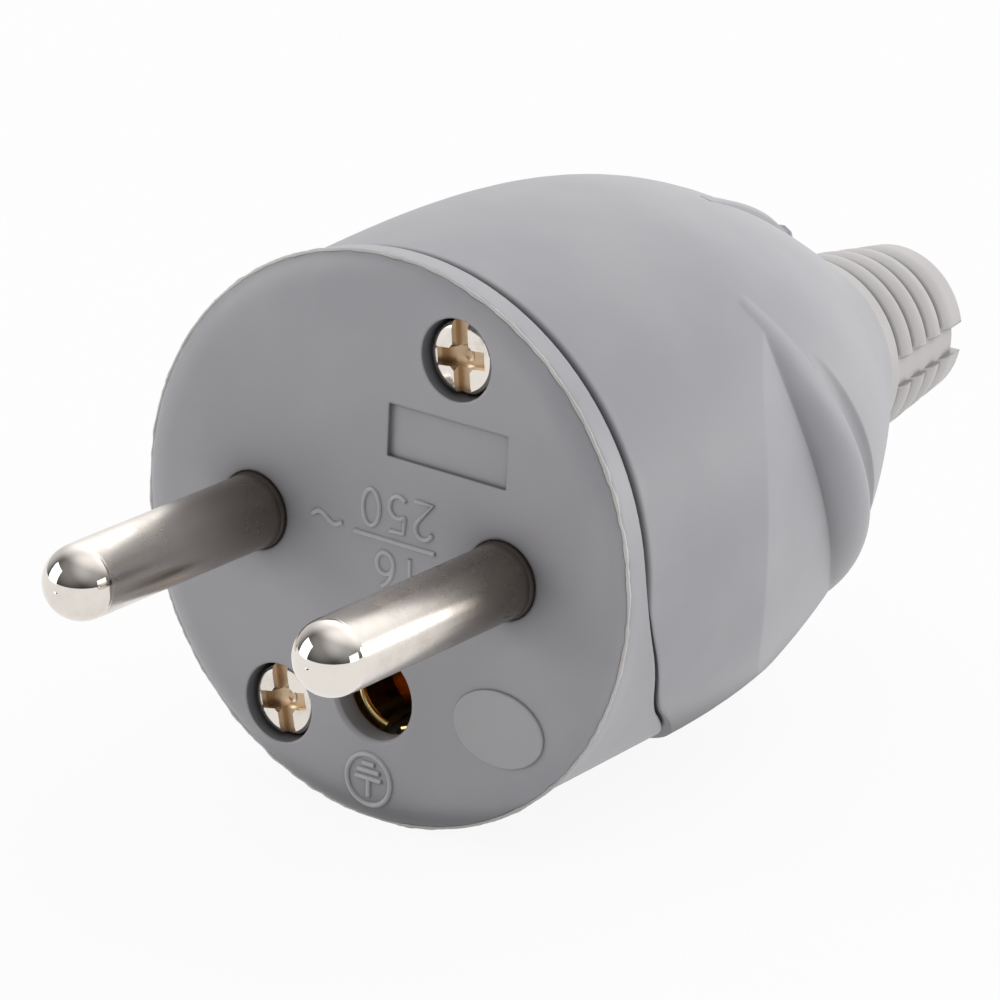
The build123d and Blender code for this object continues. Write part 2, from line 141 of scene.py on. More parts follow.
# Pale screens of the studio: the way to each one's middle, and its strength
PALE_SCREENS = {
    "rear": ((0.0, 0.966, 0.259), 0.56),
    "rear_left": ((-0.683, 0.683, 0.259), 0.65),
    "right_overhead": ((0.574, 0.0, 0.819), 0.38),
    "rear_overhead": ((0.0, 0.574, 0.819), 0.82),
    "front_overhead": ((0.0, -0.574, 0.819), 0.22),
}
DIM_ROOM = 0.06
FLOOR_WHITE_SHARE = 0.92
LAMP_TINT = (1, 0.985, 0.97)


# Node helpers
def add(tree, kind, **settings):
    """New node of a kind, with its settings and its plain input values."""
    node = tree.nodes.new(kind)
    for key, value in settings.items():
        if hasattr(node, key):
            setattr(node, key, value)
        else:
            node.inputs[key.replace("_", " ")].default_value = value
    return node


def link(tree, source, target):
    """Joins an output to an input."""
    tree.links.new(source, target)


def maths(tree, operation, first, second=None):
    """Math node on sockets or plain numbers, returned as its output."""
    node = tree.nodes.new("ShaderNodeMath")
    node.operation = operation
    for socket, value in zip(node.inputs, (first, second)):
        if value is None:
            continue
        if isinstance(value, (int, float)):
            socket.default_value = value
        else:
            link(tree, value, socket)
    return node.outputs[0]


def ramped(tree, value, low, high, start=0.0, end=1.0, interpolation="SMOOTHSTEP"):
    """Value taken from low..high to start..end, smoothly unless said otherwise."""
    node = add(tree, "ShaderNodeMapRange", interpolation_type=interpolation)
    link(tree, value, node.inputs["Value"])
    for name, number in (("From Min", low), ("From Max", high), ("To Min", start), ("To Max", end)):
        node.inputs[name].default_value = number
    return node.outputs["Result"]


def blended(tree, factor, first, second):
    """Colour between two colours or sockets."""
    node = add(tree, "ShaderNodeMix", data_type="RGBA")
    link(tree, factor, node.inputs[0])
    for socket, value in ((node.inputs[6], first), (node.inputs[7], second)):
        if isinstance(value, tuple):
            socket.default_value = value
        else:
            link(tree, value, socket)
    return node.outputs[2]


def shader_group(name, inputs, outputs):
    """Empty shader node group with named sockets."""
    group = bpy.data.node_groups.new(name, "ShaderNodeTree")
    for label, kind, value in inputs:
        socket = group.interface.new_socket(label, in_out="INPUT", socket_type=kind)
        if value is not None:
            socket.default_value = value
    for label, kind in outputs:
        group.interface.new_socket(label, in_out="OUTPUT", socket_type=kind)
    return group, group.nodes.new("NodeGroupInput"), group.nodes.new("NodeGroupOutput")


# Shared effects
def moulded_skin_group():
    """Clouding, fine grain and faint rub marks of a moulded surface."""
    group, given, out = shader_group(
        "moulded_skin",
        [
            ("Place", "NodeSocketVector", None),
            ("Cloud Scale", "NodeSocketFloat", 90.0),
            ("Grain Scale", "NodeSocketFloat", 5200.0),
            ("Rub Amount", "NodeSocketFloat", 0.5),
        ],
        [("Tint", "NodeSocketFloat"), ("Gloss", "NodeSocketFloat"), ("Height", "NodeSocketFloat")],
    )
    place = given.outputs["Place"]
    cloud = add(group, "ShaderNodeTexNoise", Detail=3.0, Roughness=0.55)
    link(group, place, cloud.inputs["Vector"])
    link(group, given.outputs["Cloud Scale"], cloud.inputs["Scale"])
    grain = add(group, "ShaderNodeTexNoise", Detail=2.0, Roughness=0.6)
    link(group, place, grain.inputs["Vector"])
    link(group, given.outputs["Grain Scale"], grain.inputs["Scale"])
    stretch = add(group, "ShaderNodeMapping")
    stretch.inputs["Rotation"].default_value = (0.5, 0.9, 0.35)
    stretch.inputs["Scale"].default_value = (1.0, 22.0, 9.0)
    link(group, place, stretch.inputs["Vector"])
    rub = add(group, "ShaderNodeTexNoise", Scale=150.0, Detail=4.0, Roughness=0.7)
    link(group, stretch.outputs["Vector"], rub.inputs["Vector"])
    rub_line = ramped(group, rub.outputs["Fac"], 0.66, 0.74)
    rub_mask = maths(group, "MULTIPLY", rub_line, given.outputs["Rub Amount"])
    tint = maths(group, "ADD", ramped(group, cloud.outputs["Fac"], 0.3, 0.7), rub_mask)
    link(group, tint, out.inputs["Tint"])
    gloss = maths(group, "ADD", maths(group, "MULTIPLY", grain.outputs["Fac"], 0.5), rub_mask)
    link(group, gloss, out.inputs["Gloss"])
    height = maths(group, "ADD", grain.outputs["Fac"], maths(group, "MULTIPLY", cloud.outputs["Fac"], 0.8))
    link(group, height, out.inputs["Height"])
    return group


def plated_skin_group():
    """Fine pitting, drawn lines and dull patches of a plated metal surface."""
    group, given, out = shader_group(
        "plated_skin",
        [
            ("Place", "NodeSocketVector", None),
            ("Pit Scale", "NodeSocketFloat", 2600.0),
            ("Line Scale", "NodeSocketFloat", 1500.0),
            ("Patch Scale", "NodeSocketFloat", 260.0),
        ],
        [("Dull", "NodeSocketFloat"), ("Height", "NodeSocketFloat")],
    )
    place = given.outputs["Place"]
    pits = add(group, "ShaderNodeTexNoise", Detail=3.0, Roughness=0.65)
    link(group, place, pits.inputs["Vector"])
    link(group, given.outputs["Pit Scale"], pits.inputs["Scale"])
    along = add(group, "ShaderNodeMapping")
    along.inputs["Scale"].default_value = (1.0, 0.06, 1.0)
    link(group, place, along.inputs["Vector"])
    lines = add(group, "ShaderNodeTexNoise", Detail=2.0, Roughness=0.5)
    link(group, along.outputs["Vector"], lines.inputs["Vector"])
    link(group, given.outputs["Line Scale"], lines.inputs["Scale"])
    patch = add(group, "ShaderNodeTexNoise", Detail=3.0, Roughness=0.6)
    link(group, place, patch.inputs["Vector"])
    link(group, given.outputs["Patch Scale"], patch.inputs["Scale"])
    dull = maths(group, "MULTIPLY", ramped(group, patch.outputs["Fac"], 0.42, 0.7), pits.outputs["Fac"])
    link(group, dull, out.inputs["Dull"])
    height = maths(group, "ADD", pits.outputs["Fac"], maths(group, "MULTIPLY", lines.outputs["Fac"], 0.7))
    link(group, height, out.inputs["Height"])
    return group


MOULDED_SKIN = moulded_skin_group()
PLATED_SKIN = plated_skin_group()


def finish(name):
    """New material with its tree, its shader and the object's own coordinates."""
    material = bpy.data.materials.new(name)
    material.use_nodes = True
    tree = material.node_tree
    shader = tree.nodes["Principled BSDF"]
    place = tree.nodes.new("ShaderNodeTexCoord").outputs["Object"]
    return material, tree, shader, place


def skin(tree, group, place, **values):
    """A shared effect placed in a material with its own values."""
    node = tree.nodes.new("ShaderNodeGroup")
    node.node_tree = group
    link(tree, place, node.inputs["Place"])
    for key, value in values.items():
        node.inputs[key.replace("_", " ")].default_value = value
    return node


def axes(tree, place):
    """The X, Y and Z of a place."""
    apart = add(tree, "ShaderNodeSeparateXYZ")
    link(tree, place, apart.inputs[0])
    return [apart.outputs[axis] for axis in "XYZ"]


def lay_stain_and_painted_shade(tree, shader, mask, colour):
    """Lays a colour over a shader's present colour where a mask says: used for stains such as tarnish, and
    for painted shade and painted reflection.
    """
    plain = shader.inputs["Base Color"].links[0].from_socket
    link(tree, blended(tree, mask, plain, colour), shader.inputs["Base Color"])


def soft_edges(tree, radius):
    """Normal that rounds edges over a radius in millimetres."""
    return add(tree, "ShaderNodeBevel", samples=8, Radius=radius * MM).outputs["Normal"]


def surface_bump(tree, shader, height, strength, depth, normal=None):
    """Bump of a depth in millimetres on the shader's normal."""
    bump = add(tree, "ShaderNodeBump", Strength=strength, Distance=depth * MM)
    link(tree, height, bump.inputs["Height"])
    if normal is not None:
        link(tree, normal, bump.inputs["Normal"])
    link(tree, bump.outputs["Normal"], shader.inputs["Normal"])


def moulded_material(name, dark, light, roughness, edge, rub=0.35, grain_depth=0.012):
    """Satin moulded plastic."""
    material, tree, shader, place = finish(name)
    shader.inputs["Specular IOR Level"].default_value = 0.45
    shader.inputs["IOR"].default_value = 1.5
    effect = skin(tree, MOULDED_SKIN, place, Rub_Amount=rub)
    colour = blended(tree, effect.outputs["Tint"], dark, light)
    link(tree, colour, shader.inputs["Base Color"])
    low, high = roughness
    gloss = ramped(tree, effect.outputs["Gloss"], 0.1, 0.9, low, high)
    link(tree, gloss, shader.inputs["Roughness"])
    normal = soft_edges(tree, edge) if edge else None
    surface_bump(tree, shader, effect.outputs["Height"], 0.35, grain_depth, normal)
    return material


def parts_of(material):
    """Tree, shader and object coordinates of a finished material."""
    tree = material.node_tree
    return tree, tree.nodes["Principled BSDF"], tree.nodes["Texture Coordinate"].outputs["Object"]


def paint_joint_shade(material):
    """Painted shade along the front edge of the cover, in the joint."""
    tree, shader, place = parts_of(material)
    y = axes(tree, place)[1]
    front = min(corner.co.y for corner in nodes["rear_cover"].data.vertices)
    full_to = front + JOINT_PAINTED_SHADE_W * MM
    painted_shade_share = 0.85
    painted_shade = ramped(tree, y, full_to, front + COVER_EDGE_ROUND * MM, painted_shade_share, 0.0)
    lay_stain_and_painted_shade(tree, shader, painted_shade, JOINT_PAINTED_SHADE)


def paint_hollow_shade(material, reach, strength, open_share):
    """Painted shade: darkens a material in its hollows and round what stands on it, by ambient occlusion
    over a reach in millimetres.
    """
    tree, shader, _ = parts_of(material)
    hollow = add(tree, "ShaderNodeAmbientOcclusion", samples=8, Distance=reach * MM)
    hollow_shade_mask = ramped(tree, hollow.outputs["AO"], 0.4, open_share, strength, 0.0)
    lay_stain_and_painted_shade(tree, shader, hollow_shade_mask, HOLLOW_PAINTED_SHADE)


def paint_groove_shade(material):
    """Painted shadow in the front corner of each ring groove of the sleeve, where the rib ahead shades it,
    outside its bore.
    """
    tree, shader, place = parts_of(material)
    x, y, z = axes(tree, place)
    past = maths(tree, "SUBTRACT", y, SLEEVE_GROOVE_Y * MM)
    turn = maths(tree, "FRACT", maths(tree, "DIVIDE", past, SLEEVE_GROOVE_PITCH * MM))
    painted_shade = ramped(tree, turn, 0.28, 0.5, 0.8, 0.0)
    squares = maths(tree, "ADD", maths(tree, "MULTIPLY", x, x), maths(tree, "MULTIPLY", z, z))
    from_axis = maths(tree, "SQRT", squares)
    sideways = maths(tree, "ABSOLUTE", z)
    masks = [
        ramped(tree, past, -0.05 * MM, 0.0),
        ramped(tree, y, SLEEVE_GROOVE_END_Y * MM, (SLEEVE_GROOVE_END_Y + 0.2) * MM, 1.0, 0.0),
        ramped(tree, sideways, SLEEVE_STRIP_HALF * MM, (SLEEVE_STRIP_HALF + 0.3) * MM),
        ramped(tree, from_axis, (SLEEVE_BORE_R + 0.05) * MM, (SLEEVE_BORE_R + 0.25) * MM),
    ]
    for mask in masks:
        painted_shade = maths(tree, "MULTIPLY", painted_shade, mask)
    lay_stain_and_painted_shade(tree, shader, painted_shade, SLEEVE_PAINTED_SHADE)


def plated_material(name, bright, dull, roughness, **values):
    """Plated or bright metal with fine pits and dull patches."""
    material, tree, shader, place = finish(name)
    shader.inputs["Metallic"].default_value = 1.0
    effect = skin(tree, PLATED_SKIN, place, **values)
    link(tree, blended(tree, effect.outputs["Dull"], bright, dull), shader.inputs["Base Color"])
    low, high = roughness
    rough = ramped(tree, effect.outputs["Dull"], 0.0, 0.6, low, high)
    link(tree, rough, shader.inputs["Roughness"])
    return material, tree, shader, place, effect, rough


def pin_material():
    """Nickel plate: a barrel that dulls towards its root, with painted dark reflection along it and painted
    shade at the root, a fine line and a polished dome.
    """
    material, tree, shader, place, effect, rough = plated_material(
        "pin_nickel_plate", NICKEL, NICKEL_DULL, (0.2, 0.28)
    )
    y = axes(tree, place)[1]
    dome_y = (PIN_R - PIN_LENGTH) * MM
    barrel = ramped(tree, y, dome_y - 0.05 * MM, dome_y + 0.1 * MM)
    # Painted dark reflection of the face along the barrel, then painted shade at the root
    reflection_start, reflection_end = PIN_PAINTED_REFLECTION_Y
    lay_stain_and_painted_shade(tree, shader, ramped(tree, y, reflection_start * MM, reflection_end * MM), NICKEL_PAINTED_DARK_REFLECTION)
    root_start, root_end = PIN_ROOT_Y
    root = ramped(tree, y, root_start * MM, root_end * MM)
    lay_stain_and_painted_shade(tree, shader, root, ROOT_SHADE)
    dome_roughness = 0.045
    polish = maths(tree, "ADD", maths(tree, "MULTIPLY", rough, barrel), dome_roughness)
    gloss = maths(tree, "ADD", polish, maths(tree, "MULTIPLY", root, 0.5))
    link(tree, gloss, shader.inputs["Roughness"])
    ridge = maths(tree, "ABSOLUTE", maths(tree, "SUBTRACT", y, dome_y))
    line = ramped(tree, ridge, 0.02 * MM, 0.12 * MM, 0.0, 1.0)
    texture = maths(tree, "MULTIPLY", effect.outputs["Height"], barrel)
    height = maths(tree, "ADD", line, maths(tree, "MULTIPLY", texture, 0.45))
    surface_bump(tree, shader, height, 0.25, 0.02)
    return material


def screw_material():
    """Nickel-plated screw whose recess shows brownish metal."""
    material, tree, shader, place, effect, rough = plated_material(
        "screw_nickel_plate", NICKEL, NICKEL_DULL, (0.1, 0.3), Patch_Scale=500.0
    )
    start = (SCREW_HEAD_Y + 0.3) * MM
    deep = ramped(tree, axes(tree, place)[1], start, start + 0.3 * MM)
    lay_stain_and_painted_shade(tree, shader, deep, TARNISH)
    gloss = maths(tree, "ADD", rough, maths(tree, "MULTIPLY", deep, 0.25))
    link(tree, gloss, shader.inputs["Roughness"])
    surface_bump(tree, shader, effect.outputs["Height"], 0.2, 0.012)
    return material


def strip_material(name, bright, dull):
    """Bright rolled strip or inner metal piece."""
    material, tree, shader, place, effect, rough = plated_material(name, bright, dull, (0.16, 0.38))
    surface_bump(tree, shader, effect.outputs["Height"], 0.25, 0.015)
    return material


grey_moulding = moulded_material("grey_moulding", GREY, GREY_LIGHT, roughness=(0.4, 0.5), edge=0.3)
# Painted shade round the pins and in the hollows of the front moulding
paint_hollow_shade(grey_moulding, reach=5.0, strength=0.65, open_share=0.92)
cover_moulding = moulded_material("cover_moulding", GREY, GREY_LIGHT, roughness=(0.44, 0.54), edge=0.5)
# Painted shade along the cover's front edge, in the joint
paint_joint_shade(cover_moulding)
# Painted shade in the hollows of the cover, darkest on the wall ahead of its rib
paint_hollow_shade(cover_moulding, reach=9.0, strength=0.95, open_share=0.98)
raised_moulding = moulded_material(
    "raised_moulding", MARK_GREY, MARK_GREY_LIGHT, roughness=(0.42, 0.55), edge=0.08
)
oval_moulding = moulded_material(
    "oval_moulding", OVAL_GREY, OVAL_GREY_LIGHT, roughness=(0.38, 0.48), edge=0.08
)
flash_moulding = moulded_material(
    "whitened_flash", FLASH_GREY, FLASH_GREY_LIGHT, roughness=(0.5, 0.6), edge=0.0
)
sleeve_rubber = moulded_material(
    "soft_sleeve_rubber",
    SLEEVE_GREY,
    SLEEVE_GREY_LIGHT,
    roughness=(0.5, 0.62),
    edge=0.22,
    rub=0.1,
    grain_depth=0.02,
)
# Painted shade in the hollows of the sleeve
paint_hollow_shade(sleeve_rubber, reach=1.6, strength=0.6, open_share=0.95)
# Painted shadow in the front corner of each ring groove of the sleeve
paint_groove_shade(sleeve_rubber)
inner_moulding = moulded_material(
    "inner_moulding", INNER_CREAM, INNER_CREAM_LIGHT, roughness=(0.45, 0.6), edge=0.15
)
pin_nickel = pin_material()
screw_nickel = screw_material()
inner_screw_nickel = strip_material("inner_screw_plate", NICKEL, NICKEL_DULL)
strip_brass = strip_material("spring_brass_strip", BRASS, BRASS_DULL)
lip_brass = strip_material("rolled_brass_lip", BRASS_BRIGHT, BRASS)

NODE_FINISHES = {
    "pin_carrier": grey_moulding,
    "rear_cover": cover_moulding,
    "bend_relief_sleeve": sleeve_rubber,
    "left_pin": pin_nickel,
    "right_pin": pin_nickel,
    "upper_assembly_screw": screw_nickel,
    "lower_assembly_screw": screw_nickel,
    "earth_contact": strip_brass,
    "upper_cover_insert": strip_brass,
    "lower_cover_insert": strip_brass,
    "contact_retainer": inner_moulding,
    "cord_clamp_bar": inner_moulding,
}
for name, node in nodes.items():
    node.data.materials.clear()
    node.data.materials.append(NODE_FINISHES.get(name, inner_screw_nickel))


# Making pieces
def as_object(name, mesh):
    """New object at the origin that shows a mesh."""
    thing = bpy.data.objects.new(name, mesh)
    bpy.context.scene.collection.objects.link(thing)
    return thing


def evaluated_mesh(thing):
    """Plain mesh of an object with its modifiers worked in, which then goes."""
    depsgraph = bpy.context.evaluated_depsgraph_get()
    mesh = bpy.data.meshes.new_from_object(thing.evaluated_get(depsgraph))
    bpy.data.objects.remove(thing)
    return mesh


def ridden(name, mesh, replaced=()):
    """Finished piece that rides on the plug's one body and may stand for CAD nodes."""
    mesh.name = name
    piece = as_object(name, mesh)
    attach(piece, "root")
    if replaced:
        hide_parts(*replaced)
    return piece


def smooth(mesh, angle=30.0):
    """Smooth shading, with edges sharper than an angle kept."""
    mesh.shade_smooth()
    mesh.set_sharp_from_angle(angle=math.radians(angle))


def evened(mesh, angle=30.0):
    """Smooth-shaded mesh whose large flat faces stay flat to the eye."""
    smooth(mesh, angle)
    thing = as_object("being_shaded", mesh)
    normals = thing.modifiers.new("even", "WEIGHTED_NORMAL")
    normals.keep_sharp = True
    normals.weight = 100
    return evaluated_mesh(thing)


def geometry_tree(name, inputs):
    """Empty geometry tree with a mesh going in, named inputs and a mesh coming out."""
    tree = bpy.data.node_groups.new(name, "GeometryNodeTree")
    tree.interface.new_socket("Geometry", in_out="INPUT", socket_type="NodeSocketGeometry")
    for label, kind, value in inputs:
        socket = tree.interface.new_socket(label, in_out="INPUT", socket_type=kind)
        if value is not None:
            socket.default_value = value
    tree.interface.new_socket("Finish", in_out="INPUT", socket_type="NodeSocketMaterial")
    tree.interface.new_socket("Geometry", in_out="OUTPUT", socket_type="NodeSocketGeometry")
    return tree, tree.nodes.new("NodeGroupInput"), tree.nodes.new("NodeGroupOutput")


def end_tree(tree, given, out, shape):
    """Last nodes of a geometry tree: smooth shading, plain mesh, finish."""
    shade = tree.nodes.new("GeometryNodeSetShadeSmooth")
    link(tree, shape, shade.inputs["Geometry"])
    plain = tree.nodes.new("GeometryNodeRealizeInstances")
    link(tree, shade.outputs[0], plain.inputs[0])
    finished = tree.nodes.new("GeometryNodeSetMaterial")
    link(tree, plain.outputs[0], finished.inputs["Geometry"])
    link(tree, given.outputs["Finish"], finished.inputs["Material"])
    link(tree, finished.outputs[0], out.inputs[0])


def grown(name, tree, finish_used, base=None, **values):
    """Mesh that a geometry tree makes from a base mesh and its own values."""
    maker = as_object(name, base or bpy.data.meshes.new(name))
    modifier = maker.modifiers.new("make", "NODES")
    modifier.node_group = tree
    sockets = {item.name: item.identifier for item in tree.interface.items_tree if item.in_out == "INPUT"}
    modifier[sockets["Finish"]] = finish_used
    for key, value in values.items():
        modifier[sockets[key.replace("_", " ")]] = value
    return evaluated_mesh(maker)


def surface_of(node):
    """Search tree over a node's surface."""
    mesh = node.data
    corners = [corner.co for corner in mesh.vertices]
    return BVHTree.FromPolygons(corners, [face.vertices for face in mesh.polygons])


def mesh_of(shape, name):
    """Plain mesh of an editable shape, which then goes."""
    mesh = bpy.data.meshes.new(name)
    shape.to_mesh(mesh)
    shape.free()
    return mesh


def box_mesh(name, size, place, turn):
    """Box of a size, turned about Y in degrees and then moved, in millimetres."""
    shape = bmesh.new()
    bmesh.ops.create_cube(shape, size=1.0)
    scale = Matrix.Diagonal((*[length * MM for length in size], 1))
    turned = Matrix.Rotation(math.radians(turn), 4, "Y")
    moved = Matrix.Translation(Vector(place) * MM)
    shape.transform(moved @ turned @ scale)
    return mesh_of(shape, name)


def lathe_mesh(name, profile, segments):
    """Closed solid turned about Y from (radius, y) points in millimetres, first and last on the axis."""
    shape = bmesh.new()
    rings = []
    for radius, y in profile:
        if radius == 0:
            rings.append([shape.verts.new((0, y * MM, 0))] * segments)
            continue
        ring = []
        for step in range(segments):
            angle = 2 * math.pi * step / segments
            corner = Vector((radius * math.cos(angle), y, radius * math.sin(angle)))
            ring.append(shape.verts.new(corner * MM))
        rings.append(ring)
    for near, away in zip(rings, rings[1:]):
        for step in range(segments):
            after = (step + 1) % segments
            corners = [near[step], near[after], away[after], away[step]]
            shape.faces.new(list(dict.fromkeys(corners)))
    bmesh.ops.recalc_face_normals(shape, faces=shape.faces)
    return mesh_of(shape, name)


def cut_away(mesh, cutters):
    """Mesh with other meshes cut out of it."""
    body = as_object("being_cut", mesh)
    tools = [as_object("cutter", cutter) for cutter in cutters]
    for tool in tools:
        cut = body.modifiers.new("cut", "BOOLEAN")
        cut.solver = "EXACT"
        cut.operation = "DIFFERENCE"
        cut.object = tool
    result = evaluated_mesh(body)
    for tool in tools:
        bpy.data.objects.remove(tool)
    return result


# Copies of CAD nodes with finer shapes
def merged_copy(name, keep_normals=False):
    """Editable copy of a CAD node with its seams merged, and its true normals kept if asked."""
    copy = nodes[name].data.copy()
    normals = [0.0] * (3 * len(copy.loops))
    copy.corner_normals.foreach_get("vector", normals)
    stored_normals = copy.attributes.get("custom_normal")
    if stored_normals:
        copy.attributes.remove(stored_normals)
    if keep_normals:
        kept = copy.attributes.new("true_normal", "FLOAT_VECTOR", "CORNER")
        kept.data.foreach_set("vector", normals)
    shape = bmesh.new()
    shape.from_mesh(copy)
    bpy.data.meshes.remove(copy)
    bmesh.ops.remove_doubles(shape, verts=shape.verts, dist=0.0005 * MM)
    return shape


def make_pin_carrier():
    """Copy of the front moulding with a bare plate sunk in the face."""
    merged = mesh_of(merged_copy("pin_carrier"), "pin_carrier_merged")
    x, z = PLATE_CENTRE
    width, height = PLATE_SIZE
    plate = box_mesh("plate_cutter", (width, 2 * PLATE_DEPTH, height), (x, 0, z), PLATE_TURN)
    mesh = cut_away(merged, [plate])
    mesh.materials.clear()
    mesh.materials.append(grey_moulding)
    mesh = evened(mesh)
    ridden("pin_carrier_moulding", mesh, ("pin_carrier",))


def make_rear_cover():
    """Copy of the cover with its front edge rounded where it meets the front moulding."""
    shape = merged_copy("rear_cover", keep_normals=True)
    front_y = min(corner.co.y for corner in shape.verts)
    edge_r = max(Vector((v.co.x, v.co.z)).length for v in shape.verts if v.co.y < front_y + 0.001 * MM)
    depth = COVER_EDGE_ROUND * MM
    for share in (0.06, 0.2, 0.42, 0.7, 1.0):
        everything = shape.verts[:] + shape.edges[:] + shape.faces[:]
        ring = (0, front_y + share * depth, 0)
        bmesh.ops.bisect_plane(shape, geom=everything, plane_co=ring, plane_no=(0, 1, 0), dist=0.001 * MM)
    true_normal = shape.loops.layers.float_vector["true_normal"]
    for corner in shape.verts:
        past = corner.co.y - front_y
        outwards = Vector((corner.co.x, 0, corner.co.z))
        if past >= depth or outwards.length < edge_r - 0.1 * MM:
            continue
        lean = min(max(1 - past / depth, 0.0), 1.0)
        outwards.normalize()
        rounded = (math.sqrt(1 - lean * lean) * outwards - Vector((0, lean, 0))).normalized()
        for loop in corner.link_loops:
            if Vector(loop[true_normal]).dot(outwards) > 0.7:
                loop[true_normal] = rounded
        corner.co -= outwards * depth * (1 - math.sqrt(1 - lean * lean))
    mesh = mesh_of(shape, "rear_cover_rounded")
    mesh.shade_smooth()
    kept = mesh.attributes["true_normal"]
    normals = [Vector(item.vector).normalized() for item in kept.data]
    mesh.attributes.remove(kept)
    mesh.normals_split_custom_set(normals)
    mesh.materials.append(cover_moulding)
    ridden("rear_cover_moulding", mesh, ("rear_cover",))


def make_sleeve():
    """Copy of the sleeve whose ribs shade as soft rounded rings."""
    mesh = mesh_of(merged_copy("bend_relief_sleeve"), "sleeve_soft")
    smooth(mesh, 38.0)
    mesh.materials.append(sleeve_rubber)
    ridden("soft_bend_relief", mesh, ("bend_relief_sleeve",))


def make_raised_oval():
    """Bare raised oval on the face."""
    steps = 72
    x, z = OVAL_CENTRE
    half_x, half_z = OVAL_HALF
    shape = bmesh.new()
    rings = []
    for share, y in ((1.0, 0.1), (1.0, 0.06 - OVAL_STAND), (0.975, 0.01 - OVAL_STAND), (0.94, -OVAL_STAND)):
        ring = []
        for step in range(steps):
            angle = 2 * math.pi * step / steps
            corner = (x + share * half_x * math.cos(angle), y, z + share * half_z * math.sin(angle))
            ring.append(shape.verts.new(Vector(corner) * MM))
        rings.append(ring)
    for near, away in zip(rings, rings[1:]):
        for step in range(steps):
            after = (step + 1) % steps
            shape.faces.new((near[step], near[after], away[after], away[step]))
    shape.faces.new(rings[0])
    shape.faces.new(rings[-1])
    bmesh.ops.recalc_face_normals(shape, faces=shape.faces)
    mesh = mesh_of(shape, "raised_oval")
    mesh.materials.append(oval_moulding)
    mesh = evened(mesh, 35.0)
    ridden("raised_oval", mesh)


# Raised signs of the face, as round strokes
def arc(centre, half, start, end, steps=18):
    """Points of an elliptical arc between two angles in degrees."""
    points = []
    for step in range(steps + 1):
        angle = math.radians(start + (end - start) * step / steps)
        points.append((centre[0] + half[0] * math.cos(angle), centre[1] + half[1] * math.sin(angle)))
    return points


def figure_strokes(figure):
    """Strokes of a plain figure in a box one high and 0.6 wide."""
    if figure == "0":
        return [arc((0.3, 0.5), (0.27, 0.5), 90, 450, 32)]
    if figure == "1":
        return [[(0.14, 0.78), (0.36, 1.0), (0.36, 0.0)]]
    if figure == "2":
        return [arc((0.3, 0.72), (0.27, 0.28), 165, -38) + [(0.02, 0.0), (0.6, 0.0)]]
    if figure == "5":
        return [[(0.54, 1.0), (0.1, 1.0), (0.06, 0.55)] + arc((0.27, 0.31), (0.29, 0.31), 132, -140)]
    return [arc((0.3, 0.3), (0.27, 0.3), 90, 450, 28), arc((0.62, 0.3), (0.59, 0.7), 180, 112, 12)]


def figures_on_face(figures, centre, height):
    """Strokes of a row of figures on the face, which stand on their heads as the marks do."""
    pitch = 0.86
    across = pitch * (len(figures) - 1) + 0.6
    strokes = []
    for place, figure in enumerate(figures):
        for stroke in figure_strokes(figure):
            points = []
            for u, v in stroke:
                along = (u + pitch * place - across / 2) * height
                points.append((centre[0] - along, centre[1] - (v - 0.5) * height))
            strokes.append(points)
    return strokes


def rating_strokes():
    """Plain figures over and under a bar, with the wave sign beside them."""
    wave = [(-4.95 + 0.117 * step, 0.88 + 0.3 * math.sin(2 * math.pi * step / 20)) for step in range(21)]
    bar = [(-1.67, 0.54), (4.48, 0.44)]
    above = figures_on_face("250", (1.6, 2.35), FIGURE_HEIGHT)
    below = figures_on_face("16", (1.75, -1.5), FIGURE_HEIGHT)
    return [wave, bar] + above + below


def earth_strokes():
    """Earth sign: a ring, three bars and a stem."""
    x, z = EARTH_SIGN_CENTRE
    strokes = [arc((x, z), (EARTH_SIGN_R, EARTH_SIGN_R), 90, 450, 64)]
    for half, above in ((1.0, 0.1), (0.84, 0.58), (0.45, 1.05)):
        strokes.append([(x - half, z + above), (x + half, z + above)])
    strokes.append([(x, z + 0.1), (x, z - 1.1)])
    return strokes


def stroke_tree():
    """Geometry tree that gives the edges of a mesh a round body."""
    tree, given, out = geometry_tree("raised_stroke", [("Stroke Radius", "NodeSocketFloat", 0.15 * MM)])
    path = tree.nodes.new("GeometryNodeMeshToCurve")
    link(tree, given.outputs["Geometry"], path.inputs["Mesh"])
    section = add(tree, "GeometryNodeCurvePrimitiveCircle", Resolution=10)
    link(tree, given.outputs["Stroke Radius"], section.inputs["Radius"])
    body = tree.nodes.new("GeometryNodeCurveToMesh")
    link(tree, path.outputs["Curve"], body.inputs["Curve"])
    link(tree, section.outputs["Curve"], body.inputs["Profile Curve"])
    body.inputs["Fill Caps"].default_value = True
    end_tree(tree, given, out, body.outputs["Mesh"])
    return tree


STROKES = stroke_tree()


def make_raised_signs():
    """Figures and signs that stand on the front moulding."""
    surface = surface_of(nodes["pin_carrier"])
    for name, strokes, radius in (
        ("rating_figures", rating_strokes(), 0.15),
        ("earth_sign", earth_strokes(), 0.17),
    ):
        corners, edges = [], []
        for stroke in strokes:
            for place, (x, z) in enumerate(stroke):
                hit = surface.ray_cast(Vector((x, -1.0, z)) * MM, Vector((0, 1, 0)))[0]
                if place:
                    edges.append((len(corners) - 1, len(corners)))
                corners.append(hit)
        wires = bpy.data.meshes.new(name)
        wires.from_pydata(corners, edges, [])
        mesh = grown(name, STROKES, raised_moulding, wires, Stroke_Radius=radius * MM)
        ridden(name, mesh)


